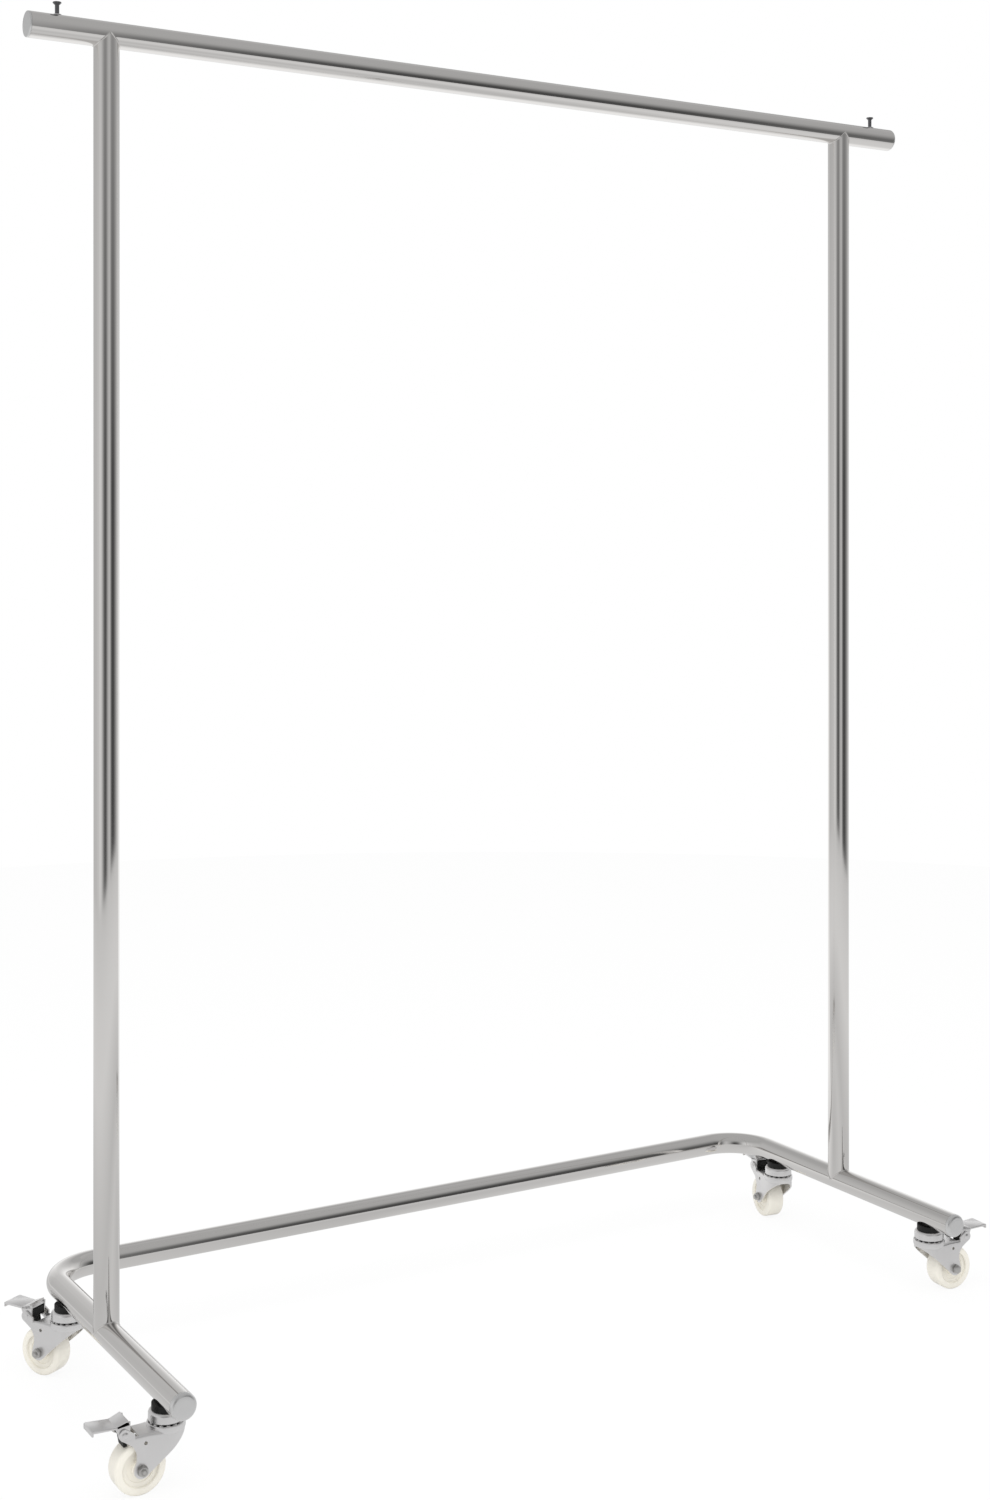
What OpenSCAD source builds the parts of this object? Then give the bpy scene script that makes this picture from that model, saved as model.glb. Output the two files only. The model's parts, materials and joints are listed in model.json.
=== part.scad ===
// Rolling clothes rack: chromed round tube frame on four braked swivel casters.
// Frame: x along the rail, y from the open front of the base to its back bar, z up, floor at z = 0.

/* [Frame tube] */
// Outside diameter of every frame tube
tube_d = 30; // [28:0.5:32]
// Wall of every frame tube
tube_wall = 1.5; // [1.2:0.1:2]
// Distance between the axes of the two posts
post_gap = 1100; // [1000:5:1200]
// Height of the rail axis above the floor
rail_h = 1606; // [1500:5:1700]
// Full length of the rail, end caps included
rail_len = 1290; // [1260:5:1320]
// Full depth of the base, from the leg ends to the back of the bar
base_depth = 480; // [460:5:520]
// Radius of the tube axis in the two corners of the base
bend_r = 65; // [58:1:80]

/* [End caps and stop pins] */
// Thickness of the visible disc of a rail cap
cap_flange = 2.4; // [1.6:0.2:4]
// Thickness of the domed head of a leg cap
dome_flange = 6; // [4:0.2:8]
// Rounding of the edge of a leg cap
dome_edge = 4.5; // [2:0.5:6]
// Depth of the plug of an end cap inside its tube
cap_plug = 14; // [8:1:20]
// Wall of the plug of an end cap
cap_wall = 1.6; // [1.2:0.2:3]
// Distance from the rail end to the axis of its stop pin
pin_inset = 36; // [24:1:44]
// Diameter of the shank of a stop pin
pin_d = 5; // [4:0.5:6]
// Diameter of the head of a stop pin
pin_head_d = 10; // [9:0.5:12]
// Height of a stop pin above the rail
pin_h = 14.5; // [10:0.5:20]
// Outside diameter of the threaded insert of a stop pin
pin_insert_d = 9; // [8:0.5:11]
// Length of the threaded insert of a stop pin below the rail wall
pin_insert_len = 7; // [5:0.5:10]

/* [Caster places] */
// Height of the leg axis above the floor
leg_h = 102; // [100:0.5:106]
// Distance from the post plane to the swivel axes in front
front_y = 187; // [170:1:200]
// Distance from the post plane to the swivel axes at the back
back_y = 137; // [120:1:145]
// Heading of the wheel of the front left caster
turn_fl = 180; // [0:1:359]
// Heading of the wheel of the back left caster
turn_bl = 122; // [0:1:359]
// Heading of the wheel of the back right caster
turn_br = 80; // [0:1:359]
// Heading of the wheel of the front right caster
turn_fr = 356; // [0:1:359]

/* [Stem and swivel] */
// Diameter of the threaded stem
stem_d = 10; // [8:0.5:12]
// Length of the stem inside the tube
stem_in_tube = 11; // [8:0.5:13]
// Outside diameter of the threaded insert welded into the leg
insert_d = 15; // [14:0.5:17]
// Diameter of the black spacer between leg and caster
spacer_d = 32; // [30:0.5:34]
// Height of the spacer below the leg
spacer_h = 4; // [3:0.5:9]
// Height that the spacer's saddle reaches up the leg
saddle_h = 3; // [1:0.5:5]
// Diameter of the upper race
race_d = 39; // [37:0.5:41]
// Height of the upper race
race_h = 11; // [8:0.5:12]
// Rounding of the upper race's shoulder
race_shoulder = 3.5; // [2:0.5:6]
// Open groove between the two races
race_gap = 1.5; // [1:0.1:2]
// Height of the lower race above the fork plate
rim_h = 4.1; // [3.5:0.1:4.5]
// Diameter of the lower race
rim_d = 42; // [41:0.5:44]
// Wall of the lower race
rim_wall = 2; // [1.6:0.1:2.4]
// Diameter of a bearing ball
ball_d = 5.2; // [4.8:0.1:5.4]
// Number of bearing balls in a caster
ball_count = 14; // [8:1:16]
// Play above the bearing balls
ball_play = 0.4; // [0.3:0.05:0.6]
// Diameter of the riveted head under the fork plate
head_d = 18; // [16:0.5:20]
// Height of the riveted head
head_h = 3; // [2.5:0.1:4]
// Play between the riveted head and the fork plate
head_play = 0.5; // [0.3:0.1:1]
// Radial play of the stem in the fork plate
stem_play = 0.5; // [0.3:0.1:1]

/* [Wheel] */
// Diameter of a wheel
wheel_d = 58; // [54:1:60]
// Width of a wheel at the tread
wheel_w = 24; // [22:0.5:26]
// Horizontal distance from the swivel axis to the axle
trail = 33; // [30:0.5:36]
// Radius of the tread's edges
tread_r = 3; // [1.5:0.5:4]
// Depth of the ring-shaped recess in a wheel's side
recess = 4; // [2:0.5:6]
// Thickness of the wheel's rim around the recess
rim_t = 7; // [5:0.5:8]
// Diameter of the wheel's hub
hub_d = 20; // [18:0.5:22]
// Outside diameter of the steel bush in the hub
bush_d = 10; // [9:0.5:12]
// Diameter of the axle bolt
axle_d = 6; // [5:0.5:7]
// Radial play of the bush on the axle bolt
axle_play = 0.05; // [0.03:0.01:0.1]
// Width across the flats of the axle's nut and head
nut_af = 10; // [9:0.5:12]
// Height of the axle's nut and head
nut_h = 5; // [4:0.5:6]
// Length of thread beyond the nut
thread_out = 2.5; // [1:0.5:4]

/* [Fork] */
// Thickness of the fork's steel
fork_t = 2.2; // [2:0.1:2.8]
// Free space on each side between wheel and fork
fork_gap = 1.6; // [1:0.1:2.5]
// Reach of the fork plate ahead of the swivel axis
fork_front = 20; // [19:0.5:22]
// Radius of the fork's eye around the axle
eye_r = 9; // [8:0.5:10]
// Reach of the fork's arm behind the axle at its waist
waist = 6; // [4:0.5:8]
// Height above the floor of the fork's lip ahead of the swivel axis
nose_low = 63; // [60:0.5:64]
// Distance behind the swivel axis where the fork's sides become parallel
neck_x = 25; // [23:0.5:26]
// Radius of the fork's lug around the brake pin
lug_r = 6.5; // [6:0.5:7.5]
// Diameter of the small hole in the fork's side
side_hole_d = 4; // [3:0.5:5]

/* [Brake] */
// Distance from the swivel axis to the brake pin
pin_x = 52; // [50:0.5:54]
// Height of the brake pin above the floor
pin_z = 70; // [68:0.5:71]
// Diameter of the brake pin
brake_pin_d = 4; // [3.5:0.5:5]
// Radial play of the lever on the brake pin
brake_play = 0.05; // [0.03:0.01:0.1]
// Thickness of the brake pin's riveted heads
rivet_h = 1.2; // [1:0.1:1.6]
// Thickness of the lever's steel
lever_t = 2; // [1.6:0.1:2.4]
// Play on each side between lever and fork
lever_play = 0.6; // [0.4:0.1:1]
// Length of the pedal behind the brake pin
pedal_len = 36; // [30:1:40]
// Width of the pedal
pedal_w = 27; // [24:0.5:30]
// Height of the lever's ear above the brake pin
ear_h = 15; // [13:0.5:15.5]
// Width of the brake shoe
shoe_w = 16; // [12:0.5:20]
// Least gap between shoe and tread with the brake on
shoe_gap = 0.5; // [0.4:0.1:0.8]

/* [Hidden] */
$fn = 64;

bore_d = tube_d - 2 * tube_wall;
post_x = post_gap / 2;
rail_tip = rail_len / 2;
pin_x_rail = rail_tip - pin_inset;
bar_y = base_depth / 2 - tube_d / 2;
leg_tip_y = -base_depth / 2;
leg_bottom = leg_h - tube_d / 2;

// Heights in a caster, from the leg down
spacer_bottom = leg_bottom - spacer_h;
race_bottom = spacer_bottom - race_h;
rim_top = race_bottom - race_gap;
plate_top = rim_top - rim_h;
plate_bottom = plate_top - fork_t;
head_top = plate_bottom - head_play;
ball_ring_r = rim_d / 2 - rim_wall - ball_d / 2;
ball_z = race_bottom - ball_play - ball_d / 2;

wheel_r = wheel_d / 2;
fork_in = wheel_w / 2 + fork_gap;
fork_out = fork_in + fork_t;
// Leading edge of the fork: straight from the lip to where it touches the eye
lead_run = trail + fork_front;
lead_drop = nose_low - wheel_r;
lead_tilt = atan2(lead_drop, lead_run) + asin(eye_r / norm([lead_run, lead_drop]));
bush_len = 2 * fork_in;

// Brake: the shoe turns with the lever and comes closest to the tread at full press
pivot_to_axle = norm([pin_x - trail, pin_z - wheel_r]);
shoe_reach = pivot_to_axle - wheel_r - shoe_gap;
shoe_line = atan2(wheel_r - pin_z, trail - pin_x);
shoe_back = 14;
lever_in = fork_in - lever_play - lever_t;
web_z = pin_z + lug_r + 1;
ear_top = pin_z + ear_h;

// Caster number: 0 front left, 1 back left, 2 back right, 3 front right
CORNER = [[-post_x, -front_y, turn_fl], [-post_x, back_y, turn_bl],
          [post_x, back_y, turn_br], [post_x, -front_y, turn_fr]];

CHROME = [0.80, 0.80, 0.82];
ZINC = [0.72, 0.73, 0.74];
NYLON = [0.91, 0.89, 0.84];
BLACK = [0.08, 0.08, 0.08];
DARK = [0.25, 0.25, 0.26];

// ---------- shared shapes ----------

// Solid rod of a given length along x, from the left end
module rod_x(d, len) { rotate([0, 90, 0]) cylinder(d = d, h = len); }

// Solid rod of a given length along y, from the front end
module rod_y(d, len) { rotate([-90, 0, 0]) cylinder(d = d, h = len); }

// Solid rod across a caster, along its y, centred
module rod_across(d, len) { rotate([90, 0, 0]) cylinder(d = d, h = len, center = true); }

// The leg tubes' hollow or outer form: two legs, two bends and the back bar
module base_form(d) {
    for (side = [-1, 1]) {
        translate([side * post_x, leg_tip_y, leg_h]) rod_y(d, bar_y - bend_r - leg_tip_y);
        translate([side * (post_x - bend_r), bar_y - bend_r, leg_h])
            rotate([0, 0, side > 0 ? 0 : 90])
                rotate_extrude(angle = 90) translate([bend_r, 0]) circle(d = d);
    }
    translate([-(post_x - bend_r), bar_y, leg_h]) rod_x(d, 2 * (post_x - bend_r));
}

// Plug-in end cap, its outer face at x = 0 and its plug towards +x
module end_cap(flange, edge) {
    difference() {
        rotate([0, 90, 0]) rotate_extrude() {
            square([tube_d / 2 - edge, flange]);
            translate([0, edge]) square([tube_d / 2, flange - edge]);
            translate([tube_d / 2 - edge, edge]) intersection() {
                circle(r = edge);
                translate([0, -edge]) square(edge);
            }
            translate([0, flange]) square([bore_d / 2, cap_plug]);
        }
        translate([flange + cap_wall, 0, 0]) rod_x(bore_d - 2 * cap_wall, cap_plug);
    }
}

// Puts a caster's piece at its corner, its trailing side along the heading
module at_corner(i) {
    translate([CORNER[i][0], CORNER[i][1], 0]) rotate([0, 0, CORNER[i][2]]) children();
}

// ---------- frame ----------

module top_rail() color(CHROME) difference() {
    translate([-rail_tip + cap_flange, 0, rail_h]) rod_x(tube_d, rail_len - 2 * cap_flange);
    translate([-rail_tip, 0, rail_h]) rod_x(bore_d, rail_len);
    for (side = [-1, 1]) translate([side * pin_x_rail, 0, rail_h]) cylinder(d = pin_insert_d, h = tube_d);
}

module rail_cap(side) color(CHROME)
    translate([side * rail_tip, 0, rail_h]) rotate([0, 0, side > 0 ? 180 : 0]) end_cap(cap_flange, cap_flange / 2);

// Stop pin: a countersunk screw that stands in its insert
module stop_pin(side) color(DARK) translate([side * pin_x_rail, 0, rail_h + tube_d / 2]) {
    head_h_pin = (pin_head_d - pin_d) / 2;
    lip = 1;
    translate([0, 0, -tube_wall - pin_insert_len]) cylinder(d = pin_d, h = tube_wall + pin_insert_len + pin_h - lip);
    translate([0, 0, pin_h - lip - head_h_pin]) cylinder(d1 = pin_d, d2 = pin_head_d, h = head_h_pin);
    translate([0, 0, pin_h - lip]) cylinder(d = pin_head_d, h = lip);
}

module pin_inserts() color(ZINC) for (side = [-1, 1])
    translate([side * pin_x_rail, 0, rail_h + tube_d / 2 - tube_wall - pin_insert_len]) difference() {
        cylinder(d = pin_insert_d, h = pin_insert_len + tube_wall - 0.2);
        translate([0, 0, -1]) cylinder(d = pin_d, h = pin_insert_len + tube_wall + 2);
    }

// Post with both ends coped to the tubes that it is welded to
module post(side) color(CHROME) difference() {
    translate([side * post_x, 0, leg_h]) cylinder(d = tube_d, h = rail_h - leg_h);
    translate([side * post_x, 0, leg_h - 1]) cylinder(d = bore_d, h = rail_h - leg_h + 2);
    translate([side * post_x, -tube_d, leg_h]) rod_y(tube_d, 2 * tube_d);
    translate([side * post_x - tube_d, 0, rail_h]) rod_x(tube_d, 2 * tube_d);
}

module base_tube() color(CHROME) difference() {
    base_form(tube_d);
    base_form(bore_d);
    for (side = [-1, 1])
        translate([side * post_x, leg_tip_y - 1, leg_h - tube_d]) {
            translate([-tube_d, 0, 0]) cube([2 * tube_d, dome_flange + 1, 2 * tube_d]);
        }
    for (c = CORNER) translate([c[0], c[1], leg_bottom - 1]) cylinder(d = insert_d, h = tube_d / 2);
}

module leg_cap(side) color(CHROME)
    translate([side * post_x, leg_tip_y, leg_h]) rotate([0, 0, 90]) end_cap(dome_flange, dome_edge);

// Threaded inserts in the undersides of the legs
module stem_inserts() color(ZINC) for (c = CORNER)
    translate([c[0], c[1], leg_bottom]) difference() {
        cylinder(d = insert_d, h = stem_in_tube);
        translate([0, 0, -1]) cylinder(d = stem_d, h = stem_in_tube + 2);
    }

// ---------- caster pieces that stay with the leg ----------

// Black spacer with a saddle that fits the leg
module spacer(i) color(BLACK) difference() {
    translate([CORNER[i][0], CORNER[i][1], spacer_bottom]) difference() {
        cylinder(d = spacer_d, h = spacer_h + saddle_h);
        translate([0, 0, -1]) cylinder(d = stem_d, h = spacer_h + saddle_h + 2);
    }
    translate([CORNER[i][0], CORNER[i][1] - spacer_d, leg_h]) rod_y(tube_d, 2 * spacer_d);
    translate([CORNER[i][0], CORNER[i][1], leg_bottom]) cylinder(d = insert_d, h = tube_d);
}

// Upper race: a pressed cup with a rounded shoulder
module upper_race(i) color(ZINC) at_corner(i) {
    translate([0, 0, race_bottom]) difference() {
        rotate_extrude() {
            square([race_d / 2 - race_shoulder, race_h]);
            square([race_d / 2, race_h - race_shoulder]);
            translate([race_d / 2 - race_shoulder, race_h - race_shoulder]) circle(r = race_shoulder);
        }
        translate([0, 0, -1]) cylinder(d = stem_d, h = race_h + 2);
    }
}

// Stem: threaded into the leg above, riveted over under the fork plate
module stem(i) color(ZINC) at_corner(i) {
    translate([0, 0, head_top]) cylinder(d = stem_d, h = leg_bottom + stem_in_tube - head_top);
    translate([0, 0, head_top - head_h]) cylinder(d = head_d, h = head_h);
}

// ---------- caster pieces that swivel ----------

module ball_ring(i) color(ZINC) at_corner(i)
    for (k = [0 : ball_count - 1])
        rotate([0, 0, k * 360 / ball_count]) translate([ball_ring_r, 0, ball_z]) sphere(d = ball_d, $fn = 32);

// Outline of one side of the fork, seen from the side, x towards the trailing end
module fork_side() {
    polygon([[-fork_front - 1, plate_top], [-fork_front - 1, nose_low], [-fork_front, nose_low],
             [trail - eye_r * sin(lead_tilt), wheel_r - eye_r * cos(lead_tilt)],
             [trail + eye_r - 1, wheel_r + 3], [trail + waist, wheel_r + 12], [trail + waist, pin_z - 21],
             [trail + waist + 5, pin_z - 13], [pin_x, pin_z - lug_r], [pin_x + lug_r, pin_z],
             [pin_x, pin_z + lug_r], [pin_x - 14, plate_top]]);
    translate([trail, wheel_r]) circle(r = eye_r);
    translate([pin_x, pin_z]) circle(r = lug_r);
}

// Plan of the fork: round about the swivel axis and drawn in to parallel sides at the neck
module fork_plan(r, half) {
    neck = [neck_x, half];
    turn = atan2(half, neck_x) + acos(r / norm(neck));
    circle(r = r);
    polygon([[r * cos(turn), r * sin(turn)], neck, [2 * pin_x, half], [2 * pin_x, -half], [neck_x, -half],
             [r * cos(turn), -r * sin(turn)]]);
}

module fork(i) color(ZINC) at_corner(i) difference() {
    union() {
        intersection() {
            linear_extrude(pin_z + 2 * lug_r) difference() {
                fork_plan(fork_front, fork_out);
                fork_plan(fork_front - fork_t, fork_in);
            }
            rotate([90, 0, 0]) linear_extrude(4 * fork_out, center = true) fork_side();
        }
        translate([0, 0, plate_bottom]) {
            cylinder(d = rim_d, h = fork_t);
            intersection() {
                linear_extrude(fork_t) fork_plan(fork_front, fork_out);
                translate([-rim_d, -rim_d, -1]) cube([rim_d + pin_x - 16, 2 * rim_d, fork_t + 2]);
            }
        }
        translate([0, 0, plate_top]) difference() {
            cylinder(d = rim_d, h = rim_h);
            translate([0, 0, -1]) cylinder(d = rim_d - 2 * rim_wall, h = rim_h + 2);
        }
    }
    translate([0, 0, plate_bottom - 1]) cylinder(d = stem_d + 2 * stem_play, h = fork_t + 2);
    translate([trail, 0, wheel_r]) rod_across(axle_d, 3 * fork_out);
    translate([pin_x, 0, pin_z]) rod_across(brake_pin_d, 3 * fork_out);
    translate([trail - 4, 0, plate_bottom - 7]) rod_across(side_hole_d, 3 * fork_out);
}

// Axle bolt with its head on the right and its nut on the left of the wheel
module axle_bolt(i) color(ZINC) at_corner(i) translate([trail, 0, wheel_r]) {
    bolt_len = 2 * fork_out + nut_h + thread_out;
    translate([0, -fork_out, 0]) rotate([-90, 0, 0]) cylinder(d = axle_d, h = bolt_len);
    translate([0, -fork_out, 0]) rotate([90, 0, 0]) cylinder(d = nut_af / cos(30), h = nut_h, $fn = 6);
    translate([0, fork_out, 0]) rotate([-90, 0, 0]) difference() {
        cylinder(d = nut_af / cos(30), h = nut_h, $fn = 6);
        translate([0, 0, -1]) cylinder(d = axle_d, h = nut_h + 2);
    }
}

// ---------- caster pieces that roll ----------

// Nylon wheel with a rounded tread, a recessed web and a hub
module wheel(i) color(NYLON) at_corner(i) translate([trail, 0, wheel_r]) rotate([90, 0, 0])
    rotate_extrude($fn = 96) difference() {
        union() {
            translate([bush_d / 2, -wheel_w / 2]) square([wheel_r - tread_r - bush_d / 2, wheel_w]);
            translate([bush_d / 2, -wheel_w / 2 + tread_r]) square([wheel_r - bush_d / 2, wheel_w - 2 * tread_r]);
            for (s = [-1, 1]) translate([wheel_r - tread_r, s * (wheel_w / 2 - tread_r)]) circle(r = tread_r, $fn = 32);
        }
        for (s = [-1, 1])
            translate([hub_d / 2, s > 0 ? wheel_w / 2 - recess : -wheel_w / 2 - 1])
                square([wheel_r - rim_t - hub_d / 2, recess + 1]);
    }

module wheel_bush(i) color(ZINC) at_corner(i) translate([trail, 0, wheel_r]) difference() {
    rod_across(bush_d, bush_len - 0.6);
    rod_across(axle_d + 2 * axle_play, bush_len + 2);
}

// ---------- brake ----------

// Outline of one cheek of the lever, seen from the side
module cheek_side() {
    translate([pin_x, pin_z]) circle(r = lug_r);
    polygon([[pin_x - lug_r, pin_z], [pin_x + lug_r, pin_z], [pin_x + lug_r + 4, web_z + lever_t],
             [pin_x - 1, ear_top - 2], [pin_x - 3, ear_top], [pin_x - 6, ear_top], [pin_x - 7, ear_top - 2]]);
}

// Brake lever: two cheeks on the pin, a web, a raised ear and the pedal
module brake_lever(i) color(ZINC) at_corner(i) difference() {
    union() {
        for (s = [-1, 1])
            translate([0, s * (lever_in + lever_t / 2), 0]) rotate([90, 0, 0])
                linear_extrude(lever_t, center = true) cheek_side();
        rotate([90, 0, 0]) linear_extrude(2 * lever_in + lever_t, center = true)
            polygon([[pin_x - 6.5, ear_top - 6], [pin_x - 4, ear_top], [pin_x - 2, ear_top - 1],
                     [pin_x + lug_r + 3, web_z + lever_t], [pin_x + lug_r + 3, web_z],
                     [pin_x + lug_r, web_z]]);
        rotate([90, 0, 0]) linear_extrude(pedal_w, center = true)
            polygon([[pin_x + lug_r + 1, web_z], [pin_x + lug_r + 1, web_z + lever_t],
                     [pin_x + pedal_len - 2, web_z + lever_t + 2], [pin_x + pedal_len, web_z + lever_t + 1],
                     [pin_x + pedal_len, web_z - 2], [pin_x + pedal_len - 2, web_z - 2],
                     [pin_x + pedal_len - 2, web_z + 1]]);
    }
    translate([pin_x, 0, pin_z]) rod_across(brake_pin_d + 2 * brake_play, 3 * fork_out);
}

// Pin through both lugs, riveted over outside them
module brake_pin(i) color(ZINC) at_corner(i) translate([pin_x, 0, pin_z]) {
    rod_across(brake_pin_d, 2 * (fork_out + rivet_h));
    for (s = [-1, 1]) translate([0, s * (fork_out + rivet_h / 2), 0]) rod_across(brake_pin_d + 3, rivet_h);
}

// Brake shoe: a moulded block that fills the lever under its ear, its nose set back from the line to the axle
module brake_shoe(i) color(BLACK) at_corner(i) translate([pin_x, 0, pin_z]) difference() {
    union() {
        rod_across(brake_pin_d + 5, 2 * lever_in);
        translate([-lug_r, -lever_in, -2]) cube([lug_r, 2 * lever_in, lug_r + 3]);
        rotate([0, -shoe_line - shoe_back, 0]) translate([0, -shoe_w / 2, -2]) cube([shoe_reach, shoe_w, 4]);
    }
    rod_across(brake_pin_d + 2 * brake_play, 3 * fork_out);
}

top_rail();
rail_cap(-1);  // rail_cap_left
rail_cap(1);  // rail_cap_right
stop_pin(-1);  // stop_pin_left
stop_pin(1);  // stop_pin_right
pin_inserts();
post(-1);  // post_left
post(1);  // post_right
base_tube();
leg_cap(-1);  // leg_cap_left
leg_cap(1);  // leg_cap_right
stem_inserts();
spacer(0);  // spacer_fl
upper_race(0);  // upper_race_fl
stem(0);  // stem_fl
ball_ring(0);  // ball_ring_fl
fork(0);  // fork_fl
axle_bolt(0);  // axle_bolt_fl
wheel(0);  // wheel_fl
wheel_bush(0);  // wheel_bush_fl
brake_lever(0);  // brake_lever_fl
brake_pin(0);  // brake_pin_fl
brake_shoe(0);  // brake_shoe_fl
spacer(1);  // spacer_bl
upper_race(1);  // upper_race_bl
stem(1);  // stem_bl
ball_ring(1);  // ball_ring_bl
fork(1);  // fork_bl
axle_bolt(1);  // axle_bolt_bl
wheel(1);  // wheel_bl
wheel_bush(1);  // wheel_bush_bl
brake_lever(1);  // brake_lever_bl
brake_pin(1);  // brake_pin_bl
brake_shoe(1);  // brake_shoe_bl
spacer(2);  // spacer_br
upper_race(2);  // upper_race_br
stem(2);  // stem_br
ball_ring(2);  // ball_ring_br
fork(2);  // fork_br
axle_bolt(2);  // axle_bolt_br
wheel(2);  // wheel_br
wheel_bush(2);  // wheel_bush_br
brake_lever(2);  // brake_lever_br
brake_pin(2);  // brake_pin_br
brake_shoe(2);  // brake_shoe_br
spacer(3);  // spacer_fr
upper_race(3);  // upper_race_fr
stem(3);  // stem_fr
ball_ring(3);  // ball_ring_fr
fork(3);  // fork_fr
axle_bolt(3);  // axle_bolt_fr
wheel(3);  // wheel_fr
wheel_bush(3);  // wheel_bush_fr
brake_lever(3);  // brake_lever_fr
brake_pin(3);  // brake_pin_fr
brake_shoe(3);  // brake_shoe_fr
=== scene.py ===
"""Rolling clothes rack: chromed tube frame on four braked swivel casters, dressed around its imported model.

Every place and size starts from the model's own boxes and joints. Lengths are metres; the helper mm()
turns the millimetres of a drawing into them. A caster is built along its own axes, u towards the trailing
side, w across towards the nut and z up, and is then set at its corner with its heading.
"""

from __future__ import annotations

import json
import logging
import math
from dataclasses import dataclass
from enum import Enum
from typing import Sequence

import bmesh
import bpy
from mathutils import Matrix, Vector

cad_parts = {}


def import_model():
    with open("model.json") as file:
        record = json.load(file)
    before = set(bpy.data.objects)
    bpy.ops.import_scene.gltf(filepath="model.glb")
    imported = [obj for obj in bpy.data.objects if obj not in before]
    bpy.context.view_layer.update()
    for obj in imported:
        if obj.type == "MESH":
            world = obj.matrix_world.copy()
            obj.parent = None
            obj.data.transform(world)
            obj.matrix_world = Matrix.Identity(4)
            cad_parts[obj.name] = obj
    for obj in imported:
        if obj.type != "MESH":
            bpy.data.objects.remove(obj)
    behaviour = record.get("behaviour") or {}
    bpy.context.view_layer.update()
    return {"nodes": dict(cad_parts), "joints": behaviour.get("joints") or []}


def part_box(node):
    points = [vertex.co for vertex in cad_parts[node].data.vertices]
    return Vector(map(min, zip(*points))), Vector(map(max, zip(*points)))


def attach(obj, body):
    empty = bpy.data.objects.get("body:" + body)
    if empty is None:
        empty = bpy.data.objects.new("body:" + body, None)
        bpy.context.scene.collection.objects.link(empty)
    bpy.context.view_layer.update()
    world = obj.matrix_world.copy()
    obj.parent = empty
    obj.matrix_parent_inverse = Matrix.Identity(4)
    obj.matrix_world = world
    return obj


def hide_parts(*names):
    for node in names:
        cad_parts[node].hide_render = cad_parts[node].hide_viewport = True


LOG = logging.getLogger("clothes_rack")
TUBE_SIDES = 128
BEAD_SIDES = 16
TURNED_SIDES = 72
SMOOTH_UP_TO = math.radians(32)
SIDES = ("left", "right")
# Lays a shape that is turned round z along w, across a caster
LAID = Matrix.Rotation(-math.pi / 2, 4, "X")
# Numbers of a Mix node's colour sockets, two inputs and the output
MIX_A, MIX_B, MIX_RESULT = 6, 7, 2

Point2 = tuple[float, float]
Point3 = tuple[float, float, float]
Colour = tuple[float, float, float, float]


def mm(value: float) -> float:
    """Millimetres as metres."""
    return value * 0.001


# ---------------------------------------------------------------- colours and nodes


def linear(hex_colour: str) -> Colour:
    """Turns an sRGB hex colour into the linear colour that a shader takes.

    Args:
        hex_colour: Six hex digits with a leading #.

    Returns:
        Red, green, blue and full alpha, linear.
    """
    channels = [int(hex_colour[i : i + 2], 16) / 255 for i in (1, 3, 5)]
    decoded = [c / 12.92 if c <= 0.04045 else ((c + 0.055) / 1.055) ** 2.4 for c in channels]
    return decoded[0], decoded[1], decoded[2], 1.0


def grey(level: float) -> Colour:
    """An opaque grey of a linear level."""
    return level, level, level, 1.0


def add_node(
    tree: bpy.types.NodeTree,
    kind: str,
    settings: dict[str, object] | None = None,
    inputs: dict[str | int, object] | None = None,
    stops: Sequence[Point2] = (),
) -> bpy.types.Node:
    """Adds a node to a tree, with its settings, its input values and its incoming links.

    Args:
        tree: The node tree to add to.
        kind: The node's type name.
        settings: Attributes set on the node itself.
        inputs: Input sockets by name or number; a socket as the value is linked, and anything else is set.
        stops: Place and linear grey of each stop of a ramp.

    Returns:
        The new node.
    """
    node = tree.nodes.new(kind)
    for name, value in (settings or {}).items():
        setattr(node, name, value)
    for name, value in (inputs or {}).items():
        if isinstance(value, bpy.types.NodeSocket):
            tree.links.new(value, node.inputs[name])
        else:
            node.inputs[name].default_value = value
    if stops:
        elements = node.color_ramp.elements
        while len(elements) < len(stops):
            elements.new(1.0)
        for element, (place, level) in zip(elements, stops):
            element.position = place
            element.color = grey(level)
    return node


def new_material(name: str) -> bpy.types.Material:
    """Starts a material with its shader nodes.

    Args:
        name: Common name of the material.

    Returns:
        The new material.
    """
    material = bpy.data.materials.new(name)
    material.use_nodes = True
    return material


# ---------------------------------------------------------------- finishes


class Finish(Enum):
    """The record's material slots that the pieces take their finish from."""

    TUBE = "chrome_tube"
    CAP = "chrome_cap"
    PIN = "pin_steel"
    ZINC = "zinc_plate"
    BOLT = "bolt_steel"
    SPACER = "black_plastic"
    WHEEL = "cream_nylon"


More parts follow.
